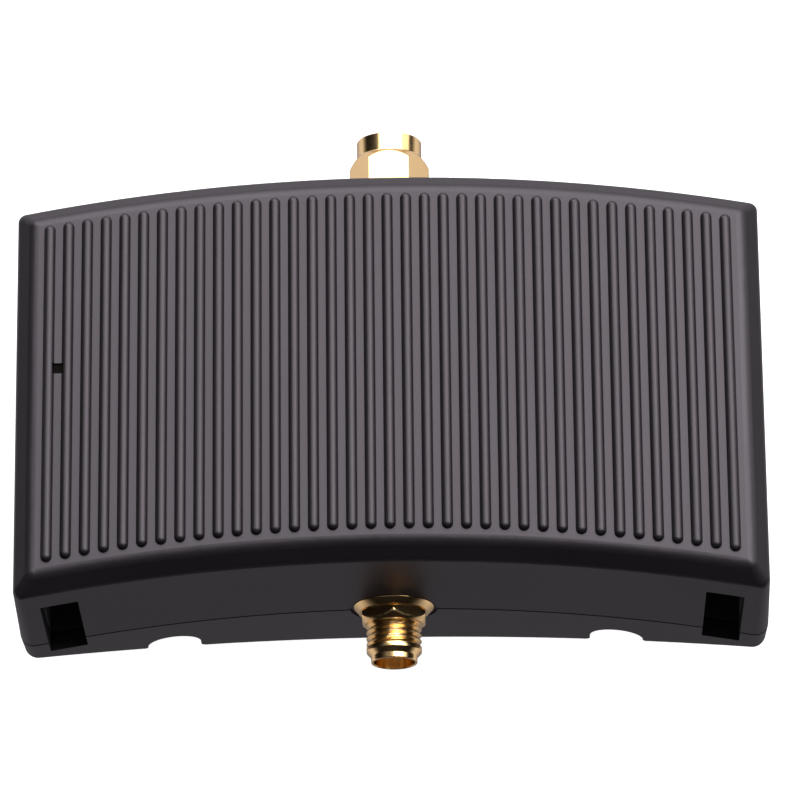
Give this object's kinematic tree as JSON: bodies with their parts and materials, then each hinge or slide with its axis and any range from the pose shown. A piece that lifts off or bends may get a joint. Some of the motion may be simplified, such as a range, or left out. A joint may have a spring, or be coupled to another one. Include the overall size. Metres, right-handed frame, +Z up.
{
  "type": "cellular signal booster",
  "caption": "In-line RF booster: bowed two-shell case with a ribbed roof, a threaded coaxial jack in front, a coaxial plug with a coupling nut behind and an amplifier board inside.",
  "frame": {"origin": "middle of the bounding box in plan, on the surface that the feet stand on", "axes": "+Z up out of the ribbed roof, +X to the right along the case's width, +Y out of the back wall along the plug"},
  "size_m": [0.0842, 0.063, 0.0315],
  "materials": {
    "case_plastic": "fine spark texture, satin",
    "black_plastic": "moulded, matt",
    "smoked_pipe": "clear moulding, smoked",
    "led_resin": "diffused resin",
    "board_laminate": "solder mask over laminate",
    "gold_plate": "gold plated, polished",
    "white_ptfe": "machined, waxy",
    "spring_bronze": "rolled strip",
    "silicone_red": "moulded",
    "tinned_steel": "rolled, tinned",
    "white_ceramic": "fired ceramic",
    "chip_epoxy": "moulded epoxy",
    "capacitor_can": "drawn can",
    "chip_ceramic": "sintered",
    "thermal_silicone": "soft sheet",
    "cast_aluminium": "as cast",
    "zinc_screw": "zinc plated",
    "black_rubber": "moulded",
    "label_film": "satin film"
  },
  "bodies": {
    "case": {"top_shell": "case_plastic", "base_shell": "case_plastic", "bracket_socket_left": "black_plastic", "bracket_socket_right": "black_plastic", "light_pipe": "smoked_pipe", "status_led": "led_resin", "main_board": "board_laminate", "front_jack_body": "gold_plate", "front_jack_insulator": "white_ptfe", "front_jack_contact": "gold_plate", "front_jack_washer": "gold_plate", "front_jack_nut": "gold_plate", "rear_plug_body": "gold_plate", "rear_plug_insulator": "white_ptfe", "rear_plug_pin": "gold_plate", "rear_plug_washer": "gold_plate", "rear_plug_nut": "gold_plate", "retaining_ring": "spring_bronze", "plug_face_gasket": "silicone_red", "power_inlet_housing": "black_plastic", "power_inlet_pin": "spring_bronze", "power_inlet_spring": "spring_bronze", "uplink_shield_frame": "tinned_steel", "uplink_shield_lid": "tinned_steel", "downlink_shield_frame": "tinned_steel", "downlink_shield_lid": "tinned_steel", "antenna_duplexer": "white_ceramic", "modem_duplexer": "white_ceramic", "uplink_power_amplifier": "chip_epoxy", "uplink_driver_amplifier": "chip_epoxy", "downlink_low_noise_amplifier": "chip_epoxy", "downlink_output_amplifier": "chip_epoxy", "gain_control_chip": "chip_epoxy", "voltage_regulator": "chip_epoxy", "power_inductor": "chip_epoxy", "reservoir_capacitor": "capacitor_can", "chip_passives": "chip_ceramic", "thermal_pad": "thermal_silicone", "heat_spreader": "cast_aluminium", "spreader_screws": "zinc_screw", "case_screws": "zinc_screw", "board_screws": "zinc_screw", "rubber_feet": "black_rubber", "rating_label": "label_film"},
    "plug_nut": {"coupling_nut": "gold_plate"}
  },
  "joints": [
    {"name": "coupling_nut_spin", "type": "hinge", "parent": "case", "child": "plug_nut", "pos_m": [0, 0.02413, 0.013], "axis": [0, 1, 0], "continuous": true}
  ]
}
